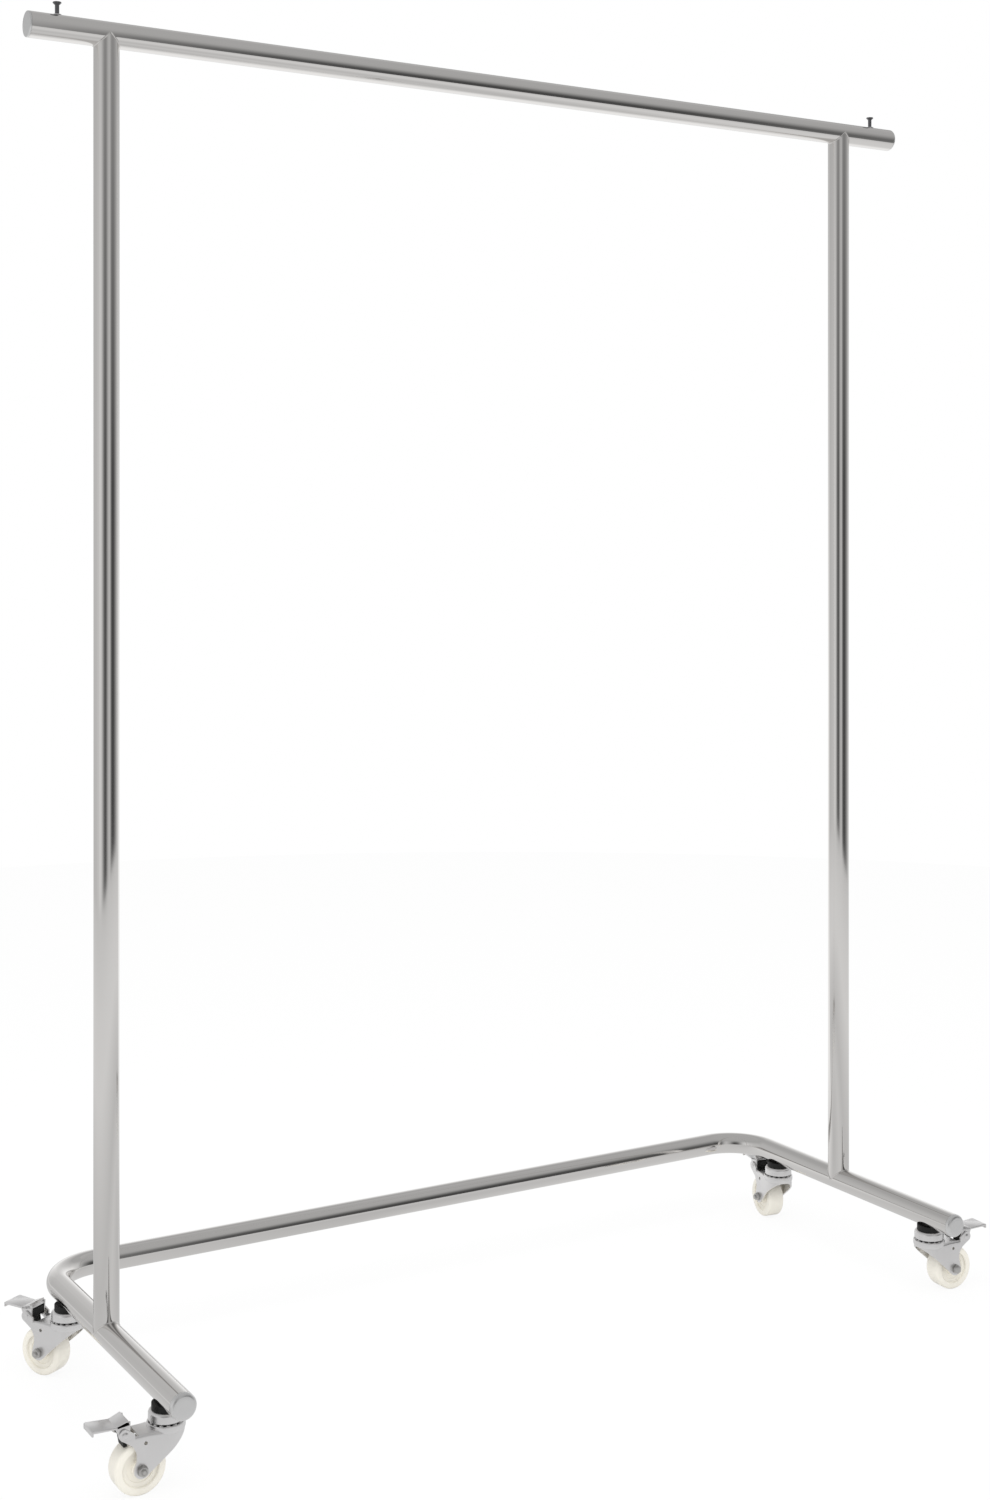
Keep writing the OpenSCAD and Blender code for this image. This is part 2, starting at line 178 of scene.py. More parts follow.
@dataclass(frozen=True)
class MetalFinish:
    """A plated or bare metal.

    Attributes:
        name: Common name of the material.
        colour: Colour of the reflection, sRGB hex.
        roughness: Mean roughness.
        grain_mm: Size of the surface's unevenness.
        grain: How far the roughness wanders to each side.
    """

    name: str
    colour: str
    roughness: float
    grain_mm: float
    grain: float

    def build(self) -> bpy.types.Material:
        """Makes the material.

        Returns:
            The new material.
        """
        material = new_material(self.name)
        tree = material.node_tree
        shader = tree.nodes["Principled BSDF"]
        shader.inputs["Base Color"].default_value = linear(self.colour)
        shader.inputs["Metallic"].default_value = 1.0
        place = add_node(tree, "ShaderNodeTexCoord")
        noise = add_node(
            tree,
            "ShaderNodeTexNoise",
            inputs={"Vector": place.outputs["Object"], "Scale": 1 / mm(self.grain_mm), "Detail": 3.0},
        )
        spread = add_node(
            tree,
            "ShaderNodeMapRange",
            inputs={
                "Value": noise.outputs["Fac"],
                "To Min": self.roughness - self.grain,
                "To Max": self.roughness + self.grain,
            },
        )
        tree.links.new(spread.outputs["Result"], shader.inputs["Roughness"])
        return material


@dataclass(frozen=True)
class PlasticFinish:
    """A moulded plastic.

    Attributes:
        name: Common name of the material.
        colour: Colour, sRGB hex.
        roughness: Roughness of the moulded skin.
        ior: Refractive index.
    """

    name: str
    colour: str
    roughness: float
    ior: float

    def build(self) -> bpy.types.Material:
        """Makes the material.

        Returns:
            The new material.
        """
        material = new_material(self.name)
        shader = material.node_tree.nodes["Principled BSDF"]
        shader.inputs["Base Color"].default_value = linear(self.colour)
        shader.inputs["Roughness"].default_value = self.roughness
        shader.inputs["IOR"].default_value = self.ior
        return material


FINISHES: dict[Finish, MetalFinish | PlasticFinish] = {
    # Drawn steel tube, polished and chromium-plated: a near mirror, faintly warm
    Finish.TUBE: MetalFinish("Polished chromium plate", "#E4E2E0", 0.065, 6.0, 0.01),
    # Pressed and plated cap, less polished than the tube: softer reflections
    Finish.CAP: MetalFinish("Satin chromium plate", "#E6E6E6", 0.38, 5.0, 0.02),
    # Burnished steel screw: dark, half-matt
    Finish.PIN: MetalFinish("Burnished steel", "#77777A", 0.3, 2.0, 0.05),
    # Pressed sheet with bright zinc plate: pale, with a soft even sheen
    Finish.ZINC: MetalFinish("Bright zinc plate", "#EEEDED", 0.33, 9.0, 0.03),
    # Machined bolt with dull zinc plate: greyer than the pressed sheet
    Finish.BOLT: MetalFinish("Dull zinc plate", "#CAC9C7", 0.36, 3.0, 0.04),
    # Injection-moulded polypropylene: black and half-matt, made near black so that it is partly painted
    # shade, standing also for the dark reflection and shade at the top of each caster and in the brake slot
    Finish.SPACER: PlasticFinish("Moulded polypropylene with painted shade", "#030303", 0.55, 1.49),
    # Injection-moulded polyamide: milky cream white with a soft gloss
    Finish.WHEEL: PlasticFinish("Moulded polyamide", "#F3EFE4", 0.36, 1.53),
}


# ---------------------------------------------------------------- mesh helpers


def arc(centre: Point2, radius: float, start: float, end: float, steps: int) -> list[Point2]:
    """Points along a round stretch of an outline.

    Args:
        centre: Centre of the round stretch.
        radius: Its radius.
        start: First angle, in degrees.
        end: Last angle, in degrees.
        steps: Number of straight pieces.

    Returns:
        The points, first and last included.
    """
    angles = [math.radians(start + (end - start) * i / steps) for i in range(steps + 1)]
    return [(centre[0] + radius * math.cos(a), centre[1] + radius * math.sin(a)) for a in angles]


def rounded(outline: Sequence[Point2], radii: Sequence[float], steps: int = 6) -> list[Point2]:
    """Rounds the corners of a closed outline.

    Args:
        outline: The corners in order.
        radii: A radius for each corner; none leaves it sharp.
        steps: Straight pieces in each rounding.

    Returns:
        The outline with its corners rounded.
    """
    result: list[Point2] = []
    count = len(outline)
    for i, radius in enumerate(radii):
        corner = Vector(outline[i])
        if radius <= 0:
            result.append((corner.x, corner.y))
            continue
        back = (Vector(outline[i - 1]) - corner).normalized()
        ahead = (Vector(outline[(i + 1) % count]) - corner).normalized()
        half = back.angle(ahead) / 2
        reach = radius / math.tan(half)
        middle = corner + (back + ahead).normalized() * radius / math.sin(half)
        first = corner + back * reach - middle
        sweep = first.angle_signed(corner + ahead * reach - middle)
        for k in range(steps + 1):
            spoke = first.copy()
            spoke.rotate(Matrix.Rotation(-sweep * k / steps, 2))
            result.append((middle.x + spoke.x, middle.y + spoke.y))
    return result


def spoke(profile: Sequence[Point2], angle: float) -> list[Point3]:
    """A profile of radii and heights, stood at an angle round z."""
    return [(r * math.cos(angle), r * math.sin(angle), z) for r, z in profile]


def skin(rings: Sequence[Sequence[Point3]]) -> bmesh.types.BMesh:
    """Closes a solid through equal rings of points that stand round z.

    Args:
        rings: The rings in order; each closes on itself, and the last meets the first.

    Returns:
        The closed mesh, with the points that meet on the axis merged.
    """
    shape = bmesh.new()
    verts = [[shape.verts.new(point) for point in ring] for ring in rings]
    for near, far in zip(verts, verts[1:] + verts[:1]):
        for i, vert in enumerate(near):
            j = (i + 1) % len(near)
            if vert.co.xy.length > 0 or near[j].co.xy.length > 0:
                shape.faces.new((vert, far[i], far[j], near[j]))
    bmesh.ops.remove_doubles(shape, verts=shape.verts, dist=mm(0.001))
    bmesh.ops.dissolve_degenerate(shape, edges=shape.edges, dist=mm(0.001))
    bmesh.ops.recalc_face_normals(shape, faces=shape.faces)
    return shape


def revolve(profile: Sequence[Point2], sides: int = TURNED_SIDES) -> bmesh.types.BMesh:
    """Turns a closed profile round z.

    Args:
        profile: Radius and height of each point; the outline closes on itself.
        sides: Number of facets round the axis.

    Returns:
        The closed mesh.
    """
    return skin([spoke(profile, math.tau * k / sides) for k in range(sides)])


def extrude(outline: Sequence[Point2], width: float, middle: float = 0.0) -> bmesh.types.BMesh:
    """Gives an outline in the u-z plane a thickness across w.

    Args:
        outline: The closed outline as u and z.
        width: Thickness across w.
        middle: Place of the middle of the thickness.

    Returns:
        The closed mesh.
    """
    shape = bmesh.new()
    low, high = middle - width / 2, middle + width / 2
    near = [shape.verts.new((u, low, z)) for u, z in outline]
    far = [shape.verts.new((u, high, z)) for u, z in outline]
    shape.faces.new(near)
    shape.faces.new(far[::-1])
    for i in range(len(outline)):
        j = (i + 1) % len(outline)
        shape.faces.new((near[i], far[i], far[j], near[j]))
    bmesh.ops.recalc_face_normals(shape, faces=shape.faces)
    return shape


def round_top(shape: bmesh.types.BMesh, radius: float) -> bmesh.types.BMesh:
    """Rounds the edge of a mesh's flat top.

    Args:
        shape: The mesh.
        radius: Radius of the rounding.

    Returns:
        The same mesh.
    """
    top = max(v.co.z for v in shape.verts) - mm(0.01)
    edges = [e for e in shape.edges if all(v.co.z > top for v in e.verts)]
    bmesh.ops.bevel(shape, geom=edges, offset=radius, segments=5, profile=0.5, affect="EDGES")
    return shape


def hexagon(across_flats: float, height: float, bore: float) -> bmesh.types.BMesh:
    """A chamfered hexagon nut or head, standing on z = 0.

    Args:
        across_flats: Width across the flats.
        height: Height of the hexagon.
        bore: Diameter of the hole; none for a solid head.

    Returns:
        The closed mesh.
    """
    inner, hole = across_flats / 2, bore / 2
    face = inner * 0.97  # the flat inside the chamfer
    slope = math.tan(math.radians(30))
    rings = []
    for k in range(TURNED_SIDES):
        angle = math.tau * k / TURNED_SIDES
        reach = inner / math.cos((angle + math.pi / 6) % (math.pi / 3) - math.pi / 6)
        drop = (reach - face) * slope
        ring = [(hole, 0), (face, 0), (reach, drop), (reach, height - drop), (face, height), (hole, height)]
        rings.append(spoke(ring, angle))
    return skin(rings)


def joined(*shapes: bmesh.types.BMesh) -> bmesh.types.BMesh:
    """Puts several meshes into the first of them.

    Args:
        shapes: The meshes; all but the first are freed.

    Returns:
        The first mesh, with the others added.
    """
    first = shapes[0]
    for other in shapes[1:]:
        scratch = bpy.data.meshes.new("scratch")
        other.to_mesh(scratch)
        first.from_mesh(scratch)
        bpy.data.meshes.remove(scratch)
        other.free()
    return first


def moved(shape: bmesh.types.BMesh, matrix: Matrix) -> bmesh.types.BMesh:
    """Moves or turns a mesh and returns it."""
    bmesh.ops.transform(shape, matrix=matrix, verts=shape.verts)
    return shape


def to_object(name: str, shape: bmesh.types.BMesh) -> bpy.types.Object:
    """Makes an object at the origin out of a mesh.

    Args:
        name: Name of the object.
        shape: Its mesh, which is freed.

    Returns:
        The new object, in the scene.
    """
    data = bpy.data.meshes.new(name)
    shape.to_mesh(data)
    shape.free()
    piece = bpy.data.objects.new(name, data)
    bpy.context.scene.collection.objects.link(piece)
    return piece


def settle(piece: bpy.types.Object) -> bpy.types.Object:
    """Applies a piece's modifiers to its mesh.

    Args:
        piece: The object whose modifiers are still live.

    Returns:
        The same object, with a plain mesh and no modifiers.
    """
    view = bpy.context.evaluated_depsgraph_get()
    result = bpy.data.meshes.new_from_object(piece.evaluated_get(view))
    old = piece.data
    piece.modifiers.clear()
    piece.data = result
    bpy.data.meshes.remove(old)
    return piece


def carve(piece: bpy.types.Object, tool: bmesh.types.BMesh, operation: str) -> bpy.types.Object:
    """Cuts a piece with a tool, or joins or intersects the two.

    Args:
        piece: The object that is changed.
        tool: The other shape, which is freed.
        operation: DIFFERENCE, INTERSECT or UNION.

    Returns:
        The changed object.
    """
    other = to_object("tool", tool)
    modifier = piece.modifiers.new("carve", "BOOLEAN")
    modifier.operation = operation
    modifier.solver = "EXACT"
    modifier.object = other
    settle(piece)
    bpy.data.objects.remove(other)
    return piece


def soften(piece: bpy.types.Object, radius: float, segments: int = 2) -> bpy.types.Object:
    """Breaks the sharp edges of a piece.

    Args:
        piece: The object.
        radius: Width of the broken edge.
        segments: Facets in it.

    Returns:
        The same object.
    """
    modifier = piece.modifiers.new("edges", "BEVEL")
    modifier.width = radius
    modifier.segments = segments
    modifier.limit_method = "ANGLE"
    modifier.angle_limit = math.radians(38)
    return settle(piece)


@dataclass
class Dresser:
    """Finishes pieces: material, smooth shading, body, slot and the model nodes that they stand for."""

    materials: dict[Finish, bpy.types.Material]
    pieces: int = 0

    def dress(
        self, piece: bpy.types.Object, finish: Finish, body: str, replaced: Sequence[str] = ()
    ) -> bpy.types.Object:
        """Gives a piece its finish and ties it to the model.

        Args:
            piece: The finished mesh object.
            finish: Its finish.
            body: The body that it moves with.
            replaced: Model nodes that it stands for.

        Returns:
            The same object.
        """
        piece.data.materials.clear()
        piece.data.materials.append(self.materials[finish])
        for face in piece.data.polygons:
            face.use_smooth = True
            face.material_index = 0
        piece.data.set_sharp_from_angle(angle=SMOOTH_UP_TO)
        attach(piece, body)
        if replaced:
            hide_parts(*replaced)
        self.pieces += 1
        LOG.info("%s: %d faces, moves with %s", piece.name, len(piece.data.polygons), body)
        return piece

    def repaint(self, node: bpy.types.Object, finish: Finish) -> None:
        """Gives a model node that stays visible its finish."""
        node.data.materials.clear()
        node.data.materials.append(self.materials[finish])


# ---------------------------------------------------------------- geometry node trees


def new_tree(
    name: str, sizes: dict[str, float | int]
) -> tuple[bpy.types.GeometryNodeTree, bpy.types.NodeOutputs]:
    """Starts a geometry tree with its inputs: its sizes, and the material that it ends in.

    Args:
        name: Name of the tree.
        sizes: Default of each size by name; a whole number makes an input for whole numbers.

    Returns:
        The tree, and the sockets that carry its inputs.
    """
    tree = bpy.data.node_groups.new(name, "GeometryNodeTree")
    tree.interface.new_socket("Geometry", in_out="INPUT", socket_type="NodeSocketGeometry")
    for label, default in sizes.items():
        kind = "NodeSocketInt" if isinstance(default, int) else "NodeSocketFloat"
        tree.interface.new_socket(label, in_out="INPUT", socket_type=kind).default_value = default
    tree.interface.new_socket("Material", in_out="INPUT", socket_type="NodeSocketMaterial")
    tree.interface.new_socket("Geometry", in_out="OUTPUT", socket_type="NodeSocketGeometry")
    return tree, add_node(tree, "NodeGroupInput").outputs


def close_tree(
    tree: bpy.types.GeometryNodeTree, geometry: bpy.types.NodeSocket
) -> bpy.types.GeometryNodeTree:
    """Ends a tree in real geometry with its material.

    Args:
        tree: The tree.
        geometry: What it has made.

    Returns:
        The same tree.
    """
    material = tree.nodes["Group Input"].outputs["Material"]
    real = add_node(tree, "GeometryNodeRealizeInstances", inputs={"Geometry": geometry})
    painted = add_node(
        tree, "GeometryNodeSetMaterial", inputs={"Geometry": real.outputs["Geometry"], "Material": material}
    )
    add_node(tree, "NodeGroupOutput", inputs={"Geometry": painted.outputs["Geometry"]})
    return tree


def tube_tree() -> bpy.types.GeometryNodeTree:
    """A round bar or tube along a path, closed at its ends.

    Returns:
        The tree.
    """
    tree, given = new_tree("Tube along a path", {"Radius": mm(15), "Sides": TUBE_SIDES})
    path = add_node(tree, "GeometryNodeMeshToCurve", inputs={"Mesh": given["Geometry"]})
    ring = add_node(
        tree,
        "GeometryNodeCurvePrimitiveCircle",
        {"mode": "RADIUS"},
        {"Resolution": given["Sides"], "Radius": given["Radius"]},
    )
    wall = add_node(
        tree,
        "GeometryNodeCurveToMesh",
        inputs={"Curve": path.outputs["Curve"], "Profile Curve": ring.outputs["Curve"], "Fill Caps": True},
    )
    return close_tree(tree, wall.outputs["Mesh"])


def ball_tree() -> bpy.types.GeometryNodeTree:
    """Equal balls in a ring round the origin, lifted to their height.

    Returns:
        The tree.
    """
    tree, given = new_tree(
        "Ring of balls", {"Count": 14, "Ring Radius": mm(16), "Ball Radius": mm(2.6), "Height": 0.0}
    )
    ring = add_node(
        tree, "GeometryNodeMeshCircle", inputs={"Vertices": given["Count"], "Radius": given["Ring Radius"]}
    )
    ball = add_node(
        tree,
        "GeometryNodeMeshUVSphere",
        inputs={"Segments": 20, "Rings": 10, "Radius": given["Ball Radius"]},
    )
    placed = add_node(
        tree,
        "GeometryNodeInstanceOnPoints",
        inputs={"Points": ring.outputs["Mesh"], "Instance": ball.outputs["Mesh"]},
    )
    lift = add_node(tree, "ShaderNodeCombineXYZ", inputs={"Z": given["Height"]})
    raised = add_node(
        tree,
        "GeometryNodeTransform",
        inputs={"Geometry": placed.outputs["Instances"], "Translation": lift.outputs["Vector"]},
    )
    return close_tree(tree, raised.outputs["Geometry"])


def thread_tree() -> bpy.types.GeometryNodeTree:
    """Thread ridges: equal rings set one pitch apart along z.

    Returns:
        The tree.
    """
    tree, given = new_tree(
        "Thread ridges", {"Count": 3, "Pitch": mm(1), "Ridge Radius": mm(4), "Ridge": mm(0.3)}
    )
    step = add_node(tree, "ShaderNodeCombineXYZ", inputs={"Z": given["Pitch"]})
    line = add_node(
        tree,
        "GeometryNodeMeshLine",
        {"mode": "OFFSET"},
        {"Count": given["Count"], "Offset": step.outputs["Vector"]},
    )
    ring, section = (
        add_node(
            tree,
            "GeometryNodeCurvePrimitiveCircle",
            {"mode": "RADIUS"},
            {"Resolution": sides, "Radius": given[label]},
        )
        for sides, label in ((32, "Ridge Radius"), (6, "Ridge"))
    )
    ridge = add_node(
        tree,
        "GeometryNodeCurveToMesh",
        inputs={"Curve": ring.outputs["Curve"], "Profile Curve": section.outputs["Curve"]},
    )
    placed = add_node(
        tree,
        "GeometryNodeInstanceOnPoints",
        inputs={"Points": line.outputs["Mesh"], "Instance": ridge.outputs["Mesh"]},
    )
    return close_tree(tree, placed.outputs["Instances"])


def grow(
    name: str, seed: bmesh.types.BMesh, tree: bpy.types.GeometryNodeTree, values: dict[str, object]
) -> bpy.types.Object:
    """Runs a geometry tree on a mesh and keeps the result as a plain mesh.

    Args:
        name: Name of the new object.
        seed: The mesh that the tree starts from, which is freed.
        tree: The geometry tree.
        values: Its inputs by name.

    Returns:
        The object, with no modifier.
    """
    piece = to_object(name, seed)
    modifier = piece.modifiers.new(tree.name, "NODES")
    modifier.node_group = tree
    labels = {item.name: item.identifier for item in tree.interface.items_tree if item.in_out == "INPUT"}
    for label, value in values.items():
        modifier[labels[label]] = value
    settle(piece)
    shape = bmesh.new()
    shape.from_mesh(piece.data)
    bmesh.ops.recalc_face_normals(shape, faces=shape.faces)
    shape.to_mesh(piece.data)
    shape.free()
    return piece


def path_mesh(points: Sequence[Point3], closed: bool = False) -> bmesh.types.BMesh:
    """A line of edges through points, for a tree that follows a path.

    Args:
        points: The points in order.
        closed: Whether the last meets the first.

    Returns:
        The edges, with no face.
    """
    shape = bmesh.new()
    verts = [shape.verts.new(p) for p in points]
    for a, b in zip(verts, verts[1:]):
        shape.edges.new((a, b))
    if closed:
        shape.edges.new((verts[-1], verts[0]))
    return shape


# ---------------------------------------------------------------- the frame


@dataclass
class TubeFrame:
    """Rail, posts and base of the rack, with their welds, caps and stop pins.

    Attributes:
        dresser: Finishes the pieces.
        tube: Tree that makes a tube along a path.
        body: Body that the whole frame is.
        bend_radius: Radius of the tube axis in the base's corners.
        weld: Radius of a weld bead.
        cap_plug_wall: Wall of a cap's plug.
        bore_share: Bore of the tube as a share of its width.
        rail_cap_rounding: Rounding of a rail cap's edge, as a share of its head's thickness.
        leg_cap_rounding: The same for a leg cap.
        insert_radius: Radius of the threaded insert round a stop pin.
    """

    dresser: Dresser
    tube: bpy.types.GeometryNodeTree
    body: str = "frame"
    bend_radius: float = mm(65)
    weld: float = mm(1.0)
    cap_plug_wall: float = mm(1.6)
    bore_share: float = 0.9
    rail_cap_rounding: float = 0.5
    leg_cap_rounding: float = 0.75
    insert_radius: float = mm(4.5)

    def __post_init__(self) -> None:
        """Reads the frame's main sizes from the model."""
        low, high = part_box("top_rail")
        self.radius = (high.z - low.z) / 2
        self.rail_z = (high.z + low.z) / 2
        self.rail_low, self.rail_high = low.x, high.x
        self.post_x = [sum(c.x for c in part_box(f"post_{side}")) / 2 for side in SIDES]
        base_low, base_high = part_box("base_tube")
        self.leg_z = (base_low.z + base_high.z) / 2
        self.leg_tip = base_low.y
        self.bar_y = base_high.y - self.radius

    def pipe(
        self, name: str, points: Sequence[Point3], radius: float, closed: bool = False
    ) -> bpy.types.Object:
        """A round bar along points, in chrome.

        Args:
            name: Name of the piece.
            points: The path.
            radius: Radius of the bar.
            closed: Whether the path closes on itself.

        Returns:
            The new object, not yet dressed.
        """
        sides = TUBE_SIDES if radius == self.radius else BEAD_SIDES
        values = {"Radius": radius, "Sides": sides, "Material": self.dresser.materials[Finish.TUBE]}
        return grow(name, path_mesh(points, closed), self.tube, values)

    def rail(self) -> None:
        """The hanging rail."""
        ends = [(self.rail_low, 0.0, self.rail_z), (self.rail_high, 0.0, self.rail_z)]
        rail = self.pipe("hanging_rail", ends, self.radius)
        self.dresser.dress(rail, Finish.TUBE, self.body, ["top_rail"])

    def posts(self) -> None:
        """The two posts, each from the base to the rail."""
        for side, x in zip(SIDES, self.post_x):
            ends = [(x, 0.0, self.leg_z), (x, 0.0, self.rail_z)]
            post = self.pipe(f"tube_post_{side}", ends, self.radius)
            self.dresser.dress(post, Finish.TUBE, self.body, [f"post_{side}"])

    def base(self) -> None:
        """The base: two legs, two bends and the back bar, in one tube."""
        left, right = self.post_x
        bend_y = self.bar_y - self.bend_radius
        steps = 36
        flat = [(left, self.leg_tip)]
        flat += arc((left + self.bend_radius, bend_y), self.bend_radius, 180, 90, steps)
        flat += arc((right - self.bend_radius, bend_y), self.bend_radius, 90, 0, steps)
        flat.append((right, self.leg_tip))
        base = self.pipe("tube_base", [(x, y, self.leg_z) for x, y in flat], self.radius)
        self.dresser.dress(base, Finish.TUBE, self.body, ["base_tube"])

    def welds(self) -> None:
        """Weld beads where the posts meet the rail and the base."""
        steps = 96
        for side, x in zip(SIDES, self.post_x):
            for place, z, along_y, up in (("foot", self.leg_z, True, 1), ("head", self.rail_z, False, -1)):
                points = []
                for k in range(steps):
                    angle = math.tau * k / steps
                    dx, dy = self.radius * math.cos(angle), self.radius * math.sin(angle)
                    rise = abs(dy if along_y else dx)
                    points.append((x + dx, dy, z + up * rise))
                bead = self.pipe(f"weld_{place}_{side}", points, self.weld, closed=True)
                self.dresser.dress(bead, Finish.TUBE, self.body)

    def cap_profile(self, flange: float, length: float, edge: float) -> list[Point2]:
        """Profile of an end cap that points up: its plug below, its disc on top.

        Args:
            flange: Thickness of the disc.
            length: Full length of the cap.
            edge: Rounding of the disc's edge.

        Returns:
            Radius and height of each point.
        """
        bore, chamfer = self.radius * self.bore_share, mm(0.3)
        crown, fall = self.radius * 0.45, mm(0.1)
        under = length - flange
        profile = [(0.0, length - self.cap_plug_wall), (bore - self.cap_plug_wall, under)]
        profile += [(bore - self.cap_plug_wall, 0.0), (bore, 0.0), (bore, under)]
        profile += [(self.radius - chamfer, under), (self.radius, under + chamfer)]
        profile += arc((self.radius - edge, length - edge), edge, 0, 80, 8)
        profile += [(crown, length - fall), (0.0, length)]
        return profile

    def cap(
        self, kind: str, side: str, place: Matrix, flange: float, length: float, rounding: float
    ) -> None:
        """Builds and dresses an end cap.

        Args:
            kind: What it closes, rail or leg.
            side: Its side of the rack.
            place: Puts a cap that points up where it sits.
            flange: Thickness of its disc.
            length: Full length of the cap.
            rounding: Rounding of the disc's edge, as a share of its thickness.
        """
        shape = moved(revolve(self.cap_profile(flange, length, flange * rounding)), place)
        cap = to_object(f"cap_{kind}_{side}", shape)
        self.dresser.dress(cap, Finish.CAP, self.body, [f"{kind}_cap_{side}"])

    def caps(self) -> None:
        """End caps of the rail and of the legs."""
        for side, sign in zip(SIDES, (-1, 1)):
            low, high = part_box(f"rail_cap_{side}")
            flange = self.rail_low - low.x if sign < 0 else high.x - self.rail_high
            inner = (high.x if sign < 0 else low.x, 0, self.rail_z)
            place = Matrix.Translation(inner) @ Matrix.Rotation(sign * math.pi / 2, 4, "Y")
            self.cap("rail", side, place, flange, high.x - low.x, self.rail_cap_rounding)
        for side, x in zip(SIDES, self.post_x):
            low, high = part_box(f"leg_cap_{side}")
            place = Matrix.Translation((x, high.y, self.leg_z)) @ Matrix.Rotation(math.pi / 2, 4, "X")
            self.cap("leg", side, place, self.leg_tip - low.y, high.y - low.y, self.leg_cap_rounding)

    def stop_pins(self) -> None:
        """Countersunk screws that stop the hangers, each in its insert."""
        sleeves = []
        lip, chamfer, point = mm(1), mm(0.3), mm(0.5)
        # Radii of the rings on the flat top, close enough together for the cross that is sunk in it
        rings = (2.9, 2.4, 2.1, 1.8, 1.5, 1.2, 0.9, 0.6, 0.3)
        for side in SIDES:
            low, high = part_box(f"stop_pin_{side}")
            head, top = (high.x - low.x) / 2, high.z - low.z
            shank = head / 2
            profile = [(0, 0), (shank * 0.8, 0), (shank, point), (shank, top - lip - head + shank)]
            profile += [(head, top - lip), (head, top - chamfer), (head - chamfer, top)]
            profile += [(mm(r), top) for r in rings] + [(0, top)]
            screw = revolve(profile)
            self.cross_recess(screw, top)
            middle = (low.x + high.x) / 2
            moved(screw, Matrix.Translation((middle, 0, low.z)))
            pin = to_object(f"screw_stop_{side}", screw)
            self.dresser.dress(pin, Finish.PIN, self.body, [f"stop_pin_{side}"])
            outer, rail_top = self.insert_radius, self.rail_z + self.radius
            brim = outer + mm(0.9)
            foot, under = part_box("pin_inserts")[0].z, rail_top - mm(0.6)
            ring = [(shank, foot), (outer, foot), (outer, under), (brim, under), (brim, rail_top + mm(0.1))]
            ring += [(outer + mm(0.5), rail_top + mm(0.4)), (shank, rail_top + mm(0.4))]
            sleeves.append(moved(revolve(ring), Matrix.Translation((middle, 0, 0))))
        inserts = to_object("sleeves_stop", joined(*sleeves))
        self.dresser.dress(inserts, Finish.ZINC, self.body, ["pin_inserts"])

    @staticmethod
    def cross_recess(screw: bmesh.types.BMesh, top: float) -> None:
        """Sinks a cross into the flat top of a screw.

        Args:
            screw: The screw, standing on z = 0.
            top: Height of its flat top.
        """
        arm, reach, depth, slope = mm(0.55), mm(2.2), mm(1.4), 0.45
        for vert in screw.verts:
            radius = math.hypot(vert.co.x, vert.co.y)
            if vert.co.z > top - mm(0.01) and radius < reach:
                if min(abs(vert.co.x), abs(vert.co.y)) < arm:
                    vert.co.z -= depth * (1 - slope * radius / reach)

    def build(self) -> None:
        """Builds and dresses the whole frame."""
        self.rail()
        self.posts()
        self.base()
        self.welds()
        self.caps()
        self.stop_pins()


# ---------------------------------------------------------------- the casters


@dataclass
class CasterPlace:
    """Where a caster stands, read from its joints.

    Attributes:
        corner: Short name of the corner.
        axis: Point of the swivel axis on the floor.
        heading: Direction of the trailing side, in radians.
        trail: Distance from the swivel axis to the axle.
        axle_z: Height of the axle.
        pivot_u: Distance from the swivel axis to the brake pin.
        pivot_z: Height of the brake pin.
    """

    corner: str
    axis: Vector
    heading: float
    trail: float
    axle_z: float
    pivot_u: float
    pivot_z: float

    @classmethod
    def read(cls, corner: str, joints: Sequence[dict]) -> "CasterPlace":
        """Works the place out from the model's joints.

        Args:
            corner: Short name of the corner.
            joints: The model's joints.

        Returns:
            The caster's place.
        """
        named = {joint["name"]: joint for joint in joints}
        swivel = Vector(named[f"swivel_{corner}_turn"]["pos_m"])
        axle = Vector(named[f"wheel_{corner}_spin"]["pos_m"])
        pivot = Vector(named[f"brake_{corner}_press"]["pos_m"])
        out = (axle - swivel).to_2d()
        return cls(
            corner,
            Vector((swivel.x, swivel.y, 0)),
            math.atan2(out.y, out.x),
            out.length,
            axle.z,
            (pivot - swivel).to_2d().length,
            pivot.z,
        )

    @property
    def matrix(self) -> Matrix:
        """Puts a shape in the caster's own axes into the frame."""
        return Matrix.Translation(self.axis) @ Matrix.Rotation(self.heading, 4, "Z")


